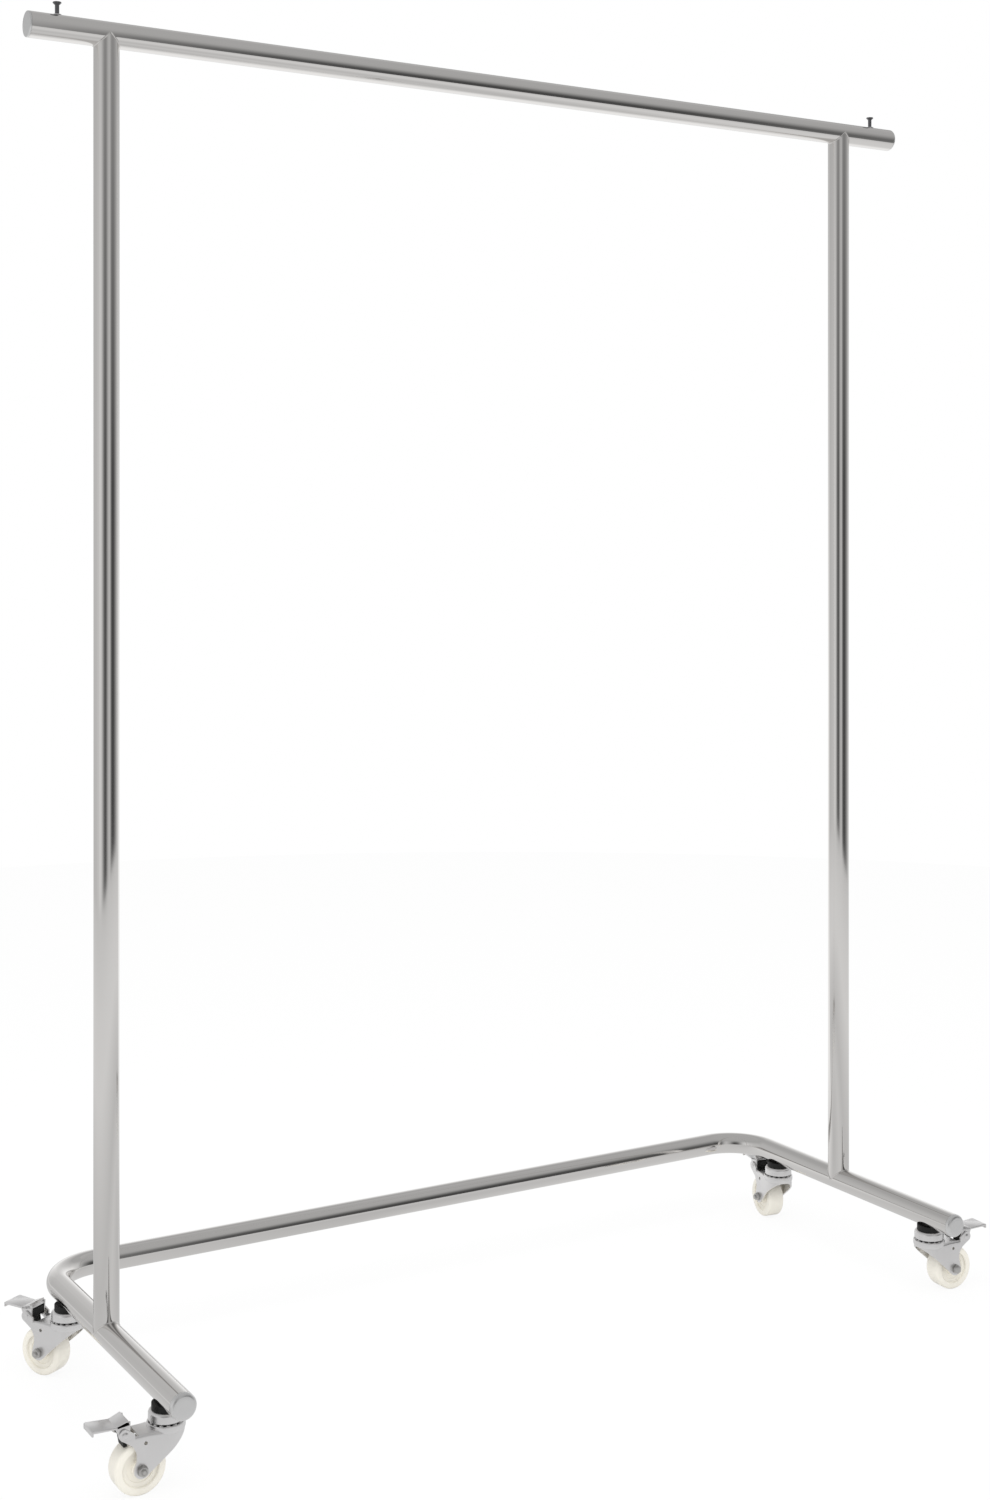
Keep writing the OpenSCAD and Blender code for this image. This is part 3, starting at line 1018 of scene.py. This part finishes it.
@dataclass
class Caster:
    """One swivel caster with its brake.

    Attributes:
        place: Where it stands.
        dresser: Finishes the pieces.
        balls: Tree that makes the bearing balls.
        thread: Tree that makes thread ridges.
        nodes: The model's nodes.
        sheet: Thickness of the fork's sheet.
        side_gap: Gap between wheel and fork.
        lever_sheet: Thickness of the lever's sheet.
        lever_play: Play between lever and fork.
        lug: Radius of the fork's lugs and the lever's cheeks round the brake pin.
        eye: Radius of the fork's eyes round the axle.
        lip: Height of the fork's lip in front.
        front: Radius of the fork's front about the swivel axis.
        race_gap: Gap between the two races.
        rim_radius: Radius of the lower race.
        rim_rise: Height of the lower race's rim above the fork's plate.
        pedal_length: Reach of the pedal from the brake pin.
        pedal_width: Width of the pedal.
        wheel_width: Width of the tyre.
        ball_count: Number of bearing balls.
        ball_radius: Radius of a ball.
        nut_flats: Width across the flats of the axle's nut and head.
        bolt_radius: Radius of the axle bolt's shank.
        nut_height: Height of nut or head with its washer.
        washer: Thickness of a washer.
        through: A width that goes through the whole fork.
    """

    place: CasterPlace
    dresser: Dresser
    balls: bpy.types.GeometryNodeTree
    thread: bpy.types.GeometryNodeTree
    nodes: dict[str, bpy.types.Object]
    sheet: float = mm(2.2)
    side_gap: float = mm(1.6)
    lever_sheet: float = mm(2)
    lever_play: float = mm(0.6)
    lug: float = mm(6.5)
    eye: float = mm(9)
    lip: float = mm(63)
    front: float = mm(20)
    race_gap: float = mm(1.5)
    rim_radius: float = mm(21)
    rim_rise: float = mm(4.1)
    pedal_length: float = mm(36)
    pedal_width: float = mm(27)
    wheel_width: float = mm(24)
    ball_count: int = 14
    ball_radius: float = mm(2.6)
    nut_flats: float = mm(10)
    bolt_radius: float = mm(3)
    nut_height: float = mm(5)
    washer: float = mm(0.8)
    through: float = mm(80)

    def __post_init__(self) -> None:
        """Reads the caster's heights and widths from the model."""
        corner = self.place.corner
        self.turning, self.rolling, self.braking = (
            f"{body}_{corner}" for body in ("swivel", "roller", "brake")
        )
        race_low, race_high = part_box(f"upper_race_{corner}")
        self.race_bottom, self.race_top = race_low.z, race_high.z
        self.race_radius = (race_high.x - race_low.x) / 2
        self.rim_top = self.race_bottom - self.race_gap
        self.ear_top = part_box(f"brake_lever_{corner}")[1].z
        ball_low, ball_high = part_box(f"ball_ring_{corner}")
        self.ball_z = (ball_low.z + ball_high.z) / 2
        self.inner = self.wheel_width / 2 + self.side_gap
        self.outer = self.inner + self.sheet
        self.plate_top = self.rim_top - self.rim_rise
        self.plate_bottom = self.plate_top - self.sheet

    def put(self, name: str, shape: bmesh.types.BMesh) -> bpy.types.Object:
        """Sets a shape from the caster's own axes into the frame."""
        return to_object(f"{name}_{self.place.corner}", moved(shape, self.place.matrix))

    def dress(self, piece: bpy.types.Object, finish: Finish, body: str, *nodes: str) -> None:
        """Finishes a piece and ties it to its body and to this corner's nodes."""
        self.dresser.dress(piece, finish, body, [f"{node}_{self.place.corner}" for node in nodes])

    def across(self, shape: bmesh.types.BMesh, u: float, w: float, z: float) -> bmesh.types.BMesh:
        """Lays a turned shape along w, its foot at the given point.

        Args:
            shape: A shape turned round z.
            u: Place along the trailing direction.
            w: Place across.
            z: Height.

        Returns:
            The same shape, turned and moved.
        """
        return moved(shape, Matrix.Translation((u, w, z)) @ LAID)

    def upper_race(self) -> None:
        """The pressed cup over the balls, with a rounded shoulder and a broken lower edge."""
        bottom, top, radius = self.race_bottom, self.race_top, self.race_radius
        shoulder, bore, roll = mm(3.5), mm(5), mm(0.7)
        profile = [(bore, bottom), (radius - roll, bottom), (radius, bottom + roll)]
        profile += arc((radius - shoulder, top - shoulder), shoulder, 0, 90, 10)
        profile += [(bore, top)]
        self.dress(self.put("race_upper", revolve(profile)), Finish.ZINC, "frame", "upper_race")

    def bearing(self) -> None:
        """The balls between the races."""
        values = {
            "Count": self.ball_count,
            "Ring Radius": self.rim_radius - mm(2) - self.ball_radius,
            "Ball Radius": self.ball_radius,
            "Height": self.ball_z,
            "Material": self.dresser.materials[Finish.ZINC],
        }
        balls = grow(f"bearing_balls_{self.place.corner}", bmesh.new(), self.balls, values)
        balls.data.transform(self.place.matrix)
        self.dress(balls, Finish.ZINC, self.turning, "ball_ring")

    def side_outline(self) -> list[Point2]:
        """Outline of the fork seen from its side, with its straight leading edge.

        Returns:
            The closed outline, as u and z.
        """
        top, front = self.plate_top + mm(1), -self.rim_radius - mm(1)
        axle_u, axle_z = self.place.trail, self.place.axle_z
        pin_u, pin_z = self.place.pivot_u, self.place.pivot_z
        waist = axle_u + mm(6)
        run, drop = axle_u + self.front, self.lip - axle_z
        tilt = math.degrees(math.atan2(drop, run) + math.asin(self.eye / math.hypot(run, drop)))
        outline = [(front, top), (front, self.lip), (-self.front, self.lip)]
        outline += arc((axle_u, axle_z), self.eye, 270 - tilt, 380, 20)
        arm = [
            (axle_u + self.eye - mm(0.5), axle_z + mm(3.2)),
            (waist, axle_z + mm(12)),
            (waist, pin_z - mm(21)),
            (waist + mm(5), pin_z - mm(13)),
            (pin_u, pin_z - self.lug - mm(1)),
        ]
        outline += rounded(arm, [0, mm(12), mm(12), mm(5), 0])
        outline += arc((pin_u, pin_z), self.lug, -70, 95, 14)
        return outline + [(pin_u - mm(14), top)]

    def plan_outline(self, radius: float, half: float) -> list[Point2]:
        """Outline of the fork seen from above: round in front, drawn in to parallel sides.

        Args:
            radius: Radius about the swivel axis.
            half: Half the width of its parallel sides.

        Returns:
            The closed outline, as u and w.
        """
        neck, reach = mm(25), mm(110)
        turn = math.degrees(math.atan2(half, neck) + math.acos(radius / math.hypot(neck, half)))
        outline = arc((0, 0), radius, turn, 360 - turn, 40)
        return outline + [(neck, -half), (reach, -half), (reach, half), (neck, half)]

    def fork(self) -> None:
        """The pressed fork: a bent channel with lugs, cut to its side outline and pierced."""
        pin_u, pin_z, trail = self.place.pivot_u, self.place.pivot_z, self.place.trail
        inside = self.outer - self.sheet
        outer_bend, inner_bend = mm(3.2), mm(1.2)
        upright = Matrix.Rotation(math.pi / 2, 4, "X")
        body = extrude(self.plan_outline(self.front, self.outer), 2 * self.plate_top)
        hollow = extrude(self.plan_outline(self.front - self.sheet, inside), 2 * self.plate_bottom)
        shell = round_top(moved(body, upright), outer_bend)
        fork = to_object(f"pressed_fork_{self.place.corner}", shell)
        carve(fork, round_top(moved(hollow, upright), inner_bend), "DIFFERENCE")
        # The two lugs stand above the plate, one on each side of the lever
        foot, top = self.plate_top - mm(6), pin_z + self.lug + mm(1)
        near, far = pin_u - mm(11), pin_u + self.lug
        for sign in (-1, 1):
            lug = [(near, foot), (far, foot), (far, top), (near, top)]
            carve(fork, extrude(lug, self.sheet, sign * (self.outer - self.sheet / 2)), "UNION")
        carve(fork, extrude(self.side_outline(), self.through), "INTERSECT")
        # The plate ends short of the lever, which moves in the space behind it
        near, far, high = pin_u - mm(16), pin_u + mm(20), mm(90)
        space = [(near, 0.0), (far, 0.0), (far, high), (near, high)]
        carve(fork, extrude(space, 2 * inside), "DIFFERENCE")
        holes = (
            (trail, self.place.axle_z, self.bolt_radius),
            (pin_u, pin_z, mm(2)),
            (trail - mm(4), self.plate_bottom - mm(7), mm(2)),
        )
        for u, z, radius in holes:
            carve(fork, extrude(arc((u, z), radius, 0, 360, 32)[:-1], self.through), "DIFFERENCE")
        soften(fork, mm(0.45))
        fork.data.transform(self.place.matrix)
        self.dress(fork, Finish.ZINC, self.turning, "fork")

    def lower_race(self) -> None:
        """The lower race: a pressed collar that flares out of the fork's plate, with a rolled rim."""
        wall, flare = mm(2), mm(5)
        radius, top, roll = self.rim_radius, self.rim_top, wall / 2
        skirt, hem = self.inner + mm(0.5), self.plate_top - mm(1)
        bore = mm(5.5)
        profile = [(radius - wall, self.plate_top), (radius - wall, top - roll)]
        profile += arc((radius - roll, top - roll), roll, 180, 0, 8)
        profile += [(radius, hem)]
        profile += arc((radius - flare, hem), flare, -10, -70, 6)
        profile += [(skirt, self.plate_bottom - mm(4)), (skirt, self.plate_bottom)]
        profile += [(bore, self.plate_bottom), (bore, self.plate_top)]
        self.dress(self.put("race_lower", revolve(profile)), Finish.ZINC, self.turning)

    def axle(self) -> None:
        """Axle bolt with its chamfered head and nut, washers and the thread beyond the nut."""
        u, z = self.place.trail, self.place.axle_z
        spare, tip, bite = mm(2.5), mm(0.8), mm(0.2)
        radius, outer, washer = self.bolt_radius, self.outer, self.washer
        hexes = self.nut_height - washer
        head = self.across(hexagon(self.nut_flats, hexes, 0.0), u, -outer - self.nut_height, z)
        length = 2 * outer + self.nut_height + spare
        outline = [(0, 0), (radius, 0), (radius, length - tip), (radius - tip, length), (0, length)]
        shank = self.across(revolve(outline), u, -outer - bite, z)
        nut = self.across(hexagon(self.nut_flats, hexes, 2 * radius - bite), u, outer + washer, z)
        brim = self.nut_flats * 0.62
        ring = [(radius, 0), (brim, 0), (brim, washer), (radius, washer)]
        washers = [self.across(revolve(ring), u, w, z) for w in (-outer - washer, outer)]
        bolt = self.put("bolt_axle", joined(head, shank, nut, *washers))
        self.dress(bolt, Finish.BOLT, self.turning, "axle_bolt")
        values = {
            "Count": 3,
            "Pitch": mm(0.9),
            "Ridge Radius": radius - mm(0.05),
            "Ridge": mm(0.22),
            "Material": self.dresser.materials[Finish.BOLT],
        }
        ridges = grow(f"bolt_thread_{self.place.corner}", bmesh.new(), self.thread, values)
        foot = Matrix.Translation((u, outer + self.nut_height + mm(0.2), z))
        ridges.data.transform(self.place.matrix @ foot @ LAID)
        self.dress(ridges, Finish.BOLT, self.turning)

    def wheel(self) -> None:
        """The nylon wheel: flat tread with round shoulders, stepped sides and a raised hub."""
        radius, half, edge = self.place.axle_z, self.wheel_width / 2, mm(3.4)
        # Radius and depth below the side face in millimetres: hub, web with its steps, rim
        hub = ((5.5, -0.8), (9, -0.8), (9.8, 0), (9.8, 4), (10.4, 4.4))
        web = ((15.2, 4.2), (15.6, 3.4), (19.2, 3.2), (20.0, 2.6), (20.4, 0.8))
        rim = ((21.2, 0), (24.6, 0))
        side = [(mm(r), half - mm(depth)) for r, depth in hub + web + rim]
        side += arc((radius - edge, half - edge), edge, 78, 0, 8)
        profile = side + [(radius, 0.0)] + [(r, -w) for r, w in reversed(side)]
        tyre = self.across(revolve(profile, 96), self.place.trail, 0.0, self.place.axle_z)
        self.dress(self.put("nylon_wheel", tyre), Finish.WHEEL, self.rolling, "wheel")

    def lever(self) -> None:
        """Brake lever: two cheeks on the pin, a web with an ear and the pedal with its turned-down rim."""
        pin_u, pin_z, lug, sheet = self.place.pivot_u, self.place.pivot_z, self.lug, self.lever_sheet
        web, ear = pin_z + lug + mm(1), self.ear_top
        low, high, back = ear - mm(2), web + sheet, pin_u + lug
        cheek_w = self.inner - self.lever_play - sheet / 2
        cheek = [(back + mm(4), high), (pin_u - mm(2), low), (pin_u - mm(7), low)]
        cheek += arc((pin_u, pin_z), lug, 180, 360, 16)
        cheeks = [extrude(cheek, sheet, sign * cheek_w) for sign in (-1, 1)]
        band = [(pin_u - mm(6.5), ear - mm(6)), (pin_u - mm(4), ear), (pin_u - mm(2), ear - mm(1))]
        band += [(back + mm(3), high), (back + mm(3), web), (back, web)]
        web_plate = extrude(band, 2 * cheek_w + sheet)
        tip, rim = pin_u + self.pedal_length, pin_u + self.pedal_length - mm(2)
        pedal = [(back + mm(1), web), (back + mm(1), high), (rim, high + mm(2)), (tip, high + mm(1))]
        pedal += [(tip, web - mm(2)), (rim, web - mm(2)), (rim, web + mm(1))]
        plate = extrude(pedal, self.pedal_width)
        lever = self.put("lever_brake", joined(*cheeks, web_plate, plate))
        soften(lever, mm(0.4))
        self.dress(lever, Finish.ZINC, self.braking, "brake_lever")

    def pin(self) -> None:
        """Brake pin with a domed rivet head at each end."""
        radius, head, rise, rim = mm(2), mm(3.5), mm(1.2), mm(0.3)
        half, crown = self.outer, head * 0.55
        profile = [(0, -half - rise), (crown, -half - rise), (head, -half - rim), (head, -half)]
        profile += [(radius, -half), (radius, half), (head, half), (head, half + rim)]
        profile += [(crown, half + rise), (0, half + rise)]
        shape = self.across(revolve(profile, 40), self.place.pivot_u, 0, self.place.pivot_z)
        self.dress(self.put("pin_brake", shape), Finish.ZINC, self.turning, "brake_pin")

    def plain_nodes(self) -> None:
        """Gives the model's own pieces that stay visible their finish."""
        for finish, pieces in (
            # The spacer and the brake shoe take the near-black finish, which is partly painted shade
            (Finish.SPACER, ("spacer", "brake_shoe")),
            (Finish.ZINC, ("stem", "wheel_bush")),
        ):
            for piece in pieces:
                self.dresser.repaint(self.nodes[f"{piece}_{self.place.corner}"], finish)

    def build(self) -> None:
        """Builds and dresses the whole caster."""
        self.upper_race()
        self.bearing()
        self.fork()
        self.lower_race()
        self.axle()
        self.wheel()
        self.lever()
        self.pin()
        self.plain_nodes()


# ---------------------------------------------------------------- the studio


@dataclass
class Studio:
    """Camera, light and floor.

    Attributes:
        camera_place: Where the camera stands.
        camera_turn: How far it is turned from +Y towards +X, in degrees.
        lens: Focal length in millimetres on a 36 mm sensor.
        drop: Share of the picture's height that the view is shifted down.
        floor_radius: Radius of the pale floor.
        room_radius: Distance from the rack to the walls that its metal mirrors.
        room_height: Height of those walls.
        floor_levels: Greys from the middle of the floor out to the wall and up it, as stops; the lower greys
            near the middle are painted shadow of the rack.
        wall_levels: Greys round the wall, from -X by way of the camera's side and +X to the back.
        wall_share: How much the greys round the wall count, from the floor's middle up the wall.
        back_share: How much the white back counts round the wall.
        low_share: How much it counts from the floor's middle up the wall.
    """

    camera_place: Point3 = (-1.3507, -2.2271, 1.0155)
    camera_turn: float = 30.751
    lens: float = 48.08
    drop: float = 0.1375
    floor_radius: float = 4.0
    room_radius: float = 3.8
    room_height: float = 5.0
    # The lower greys near the middle, under the rack, are painted shadow of the rack in what its metal
    # mirrors
    floor_levels: Sequence[Point2] = (
        (0.0, 0.58), (0.06, 0.68), (0.108, 0.6), (0.148, 0.66), (0.216, 0.76), (0.284, 0.74),
        (0.41, 0.66), (0.6, 0.5), (0.8, 0.45), (1.0, 0.46),
    )
    wall_levels: Sequence[Point2] = (
        # Left side
        (0.0, 0.7), (0.03, 0.76), (0.06, 0.68), (0.09, 0.42), (0.115, 0.2),
        # The gap where the camera stands
        (0.135, 0.1), (0.155, 0.09), (0.175, 0.18),
        # Front panel
        (0.2, 0.4), (0.24, 0.6), (0.262, 0.48), (0.285, 0.22),
        # Wide gap
        (0.305, 0.1), (0.33, 0.07), (0.36, 0.08), (0.39, 0.17),
        # Right side
        (0.43, 0.32), (0.47, 0.52), (0.51, 0.72), (0.55, 0.6),
        # Back, and on to the left side
        (0.6, 0.48), (0.74, 0.48), (0.79, 0.66), (0.84, 0.56), (0.88, 0.6), (0.93, 0.6), (0.97, 0.65),
    )
    wall_share: Sequence[Point2] = (
        (0.43, 0.0), (0.435, 1.0), (0.57, 1.0), (0.66, 0.7), (0.75, 0.3), (0.85, 0.0),
    )
    back_share: Sequence[Point2] = ((0.5, 0.0), (0.58, 1.0), (0.75, 1.0), (0.8, 0.0))
    low_share: Sequence[Point2] = ((0.0, 1.0), (0.5, 1.0), (0.62, 0.4), (0.78, 0.0))

    def camera(self) -> None:
        """A level camera with a slight downward shift."""
        data = bpy.data.cameras.new("Camera")
        data.lens = self.lens
        data.sensor_width = 36.0
        data.shift_y = -self.drop
        camera = bpy.data.objects.new("Camera", data)
        camera.location = self.camera_place
        camera.rotation_euler = (math.pi / 2, 0, -math.radians(self.camera_turn))
        bpy.context.scene.collection.objects.link(camera)
        bpy.context.scene.camera = camera

    def floor(self) -> None:
        """A round white floor that keeps a faint shadow."""
        shape = bmesh.new()
        bmesh.ops.create_circle(shape, cap_ends=True, segments=96, radius=self.floor_radius)
        floor = to_object("Floor", shape)
        material = new_material("White studio floor")
        tree = material.node_tree
        tree.nodes.clear()
        path = add_node(tree, "ShaderNodeLightPath")
        matt = add_node(tree, "ShaderNodeBsdfDiffuse", inputs={"Color": linear("#F4F4F4")})
        white = add_node(tree, "ShaderNodeEmission", inputs={"Color": grey(1.0), "Strength": 1.0})
        share = add_node(
            tree, "ShaderNodeMath", {"operation": "MULTIPLY"}, {0: path.outputs["Is Camera Ray"], 1: 0.9}
        )
        mixed = add_node(
            tree,
            "ShaderNodeMixShader",
            inputs={"Fac": share.outputs["Value"], 1: matt.outputs["BSDF"], 2: white.outputs["Emission"]},
        )
        add_node(tree, "ShaderNodeOutputMaterial", inputs={"Surface": mixed.outputs["Shader"]})
        material.cycles.emission_sampling = "NONE"
        floor.data.materials.append(material)
        floor.visible_glossy = False

    def room(self) -> None:
        """The walls and floor that the metal mirrors: white behind, panels and gaps elsewhere.

        Only glossy rays see it. Its greys are set along one way, from the middle of the floor out
        to the wall and then up the wall, and round the wall.
        """
        wall, top, thick = self.room_radius, self.room_height, 0.05
        inside = [(0, 0), (wall, 0), (wall, top)]
        shape = revolve(inside + [(wall + thick, top), (wall + thick, -thick), (0, -thick)])
        room = to_object("Room", shape)
        material = new_material("Studio room")
        tree = material.node_tree
        tree.nodes.clear()
        place = add_node(tree, "ShaderNodeTexCoord")
        spot = add_node(tree, "ShaderNodeSeparateXYZ", inputs={"Vector": place.outputs["Object"]}).outputs
        flat = add_node(tree, "ShaderNodeCombineXYZ", inputs={"X": spot["X"], "Y": spot["Y"]})
        reach = add_node(
            tree, "ShaderNodeVectorMath", {"operation": "LENGTH"}, {"Vector": flat.outputs["Vector"]}
        )
        path = add_node(
            tree, "ShaderNodeMath", {"operation": "ADD"}, {0: reach.outputs["Value"], 1: spot["Z"]}
        )
        angle = add_node(tree, "ShaderNodeMath", {"operation": "ARCTAN2"}, {0: spot["Y"], 1: spot["X"]})
        # The way out and up, the turn round the wall and the depth towards the back, each as a share
        way, turn, depth = (
            add_node(
                tree, "ShaderNodeMapRange", inputs={"Value": value, "From Min": low, "From Max": high}
            ).outputs["Result"]
            for value, low, high in (
                (path.outputs["Value"], 0.0, wall + top),
                (angle.outputs["Value"], -math.pi, math.pi),
                (spot["Y"], 0.1, 1.0),
            )
        )
        levels, ring, wall_share, back_share, low_share = (
            add_node(tree, "ShaderNodeValToRGB", inputs={"Fac": factor}, stops=stops).outputs["Color"]
            for factor, stops in (
                (way, self.floor_levels),
                (turn, self.wall_levels),
                (way, self.wall_share),
                (turn, self.back_share),
                (way, self.low_share),
            )
        )
        share = back_share
        for factor in (depth, low_share):
            share = add_node(
                tree, "ShaderNodeMath", {"operation": "MULTIPLY"}, {0: share, 1: factor}
            ).outputs["Value"]
        seen = levels
        for part, colour in ((wall_share, ring), (share, grey(1.0))):
            seen = add_node(
                tree, "ShaderNodeMix", {"data_type": "RGBA"}, {"Factor": part, MIX_A: seen, MIX_B: colour}
            ).outputs[MIX_RESULT]
        light = add_node(tree, "ShaderNodeEmission", inputs={"Color": seen, "Strength": 1.0})
        add_node(tree, "ShaderNodeOutputMaterial", inputs={"Surface": light.outputs["Emission"]})
        # Only rays that happen on it need it: it isn't sampled as a lamp
        material.cycles.emission_sampling = "NONE"
        room.data.materials.append(material)
        for kind in ("camera", "diffuse", "transmission", "volume_scatter", "shadow"):
            setattr(room, f"visible_{kind}", False)

    def world(self) -> None:
        """White behind the rack, a pale even light on it, and a ceiling for what it mirrors.

        The ceiling is grey, and brightens towards the back.
        """
        world = bpy.data.worlds.new("Studio light")
        bpy.context.scene.world = world
        world.use_nodes = True
        tree = world.node_tree
        tree.nodes.clear()
        path = add_node(tree, "ShaderNodeLightPath").outputs
        place = add_node(tree, "ShaderNodeTexCoord")
        towards_back = add_node(
            tree,
            "ShaderNodeVectorMath",
            {"operation": "DOT_PRODUCT"},
            {0: place.outputs["Generated"], 1: (0.6, 0.8, 0)},
        )
        back = add_node(
            tree,
            "ShaderNodeMapRange",
            inputs={"Value": towards_back.outputs["Value"], "From Min": 0.35, "From Max": 0.8},
        )
        shown = grey(0.47)
        for part, level in (
            (back.outputs["Result"], grey(0.56)),
            (path["Is Diffuse Ray"], grey(0.92)),
            (path["Is Camera Ray"], grey(1.0)),
        ):
            shown = add_node(
                tree, "ShaderNodeMix", {"data_type": "RGBA"}, {"Factor": part, MIX_A: shown, MIX_B: level}
            ).outputs[MIX_RESULT]
        light = add_node(tree, "ShaderNodeBackground", inputs={"Color": shown, "Strength": 1.0})
        add_node(tree, "ShaderNodeOutputWorld", inputs={"Surface": light.outputs["Background"]})

    def lamps(self) -> None:
        """One large soft panel overhead."""
        data = bpy.data.lights.new("Overhead panel", "AREA")
        data.shape = "RECTANGLE"
        data.size = 3.0
        data.size_y = 2.5
        data.energy = 50.0
        lamp = bpy.data.objects.new("Overhead panel", data)
        lamp.visible_glossy = False
        lamp.location = (-0.6, -0.8, 3.2)
        lamp.rotation_euler = (math.radians(12), math.radians(-8), 0)
        bpy.context.scene.collection.objects.link(lamp)

    def build(self) -> None:
        """Sets the studio up."""
        self.camera()
        self.floor()
        self.room()
        self.world()
        self.lamps()
        bpy.context.scene.view_settings.view_transform = "Standard"


# ---------------------------------------------------------------- main


def main() -> None:
    """Builds the rack's looks around its model."""
    logging.basicConfig(level=logging.INFO, format="%(name)s: %(message)s")
    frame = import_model()
    Studio().build()
    dresser = Dresser({finish: kind.build() for finish, kind in FINISHES.items()})
    TubeFrame(dresser, tube_tree()).build()
    dresser.repaint(frame["nodes"]["stem_inserts"], Finish.ZINC)
    balls, thread = ball_tree(), thread_tree()
    for corner in ("fl", "bl", "br", "fr"):
        place = CasterPlace.read(corner, frame["joints"])
        Caster(place, dresser, balls, thread, frame["nodes"]).build()
    LOG.info("%d pieces dressed", dresser.pieces)


if __name__ == "__main__":
    main()
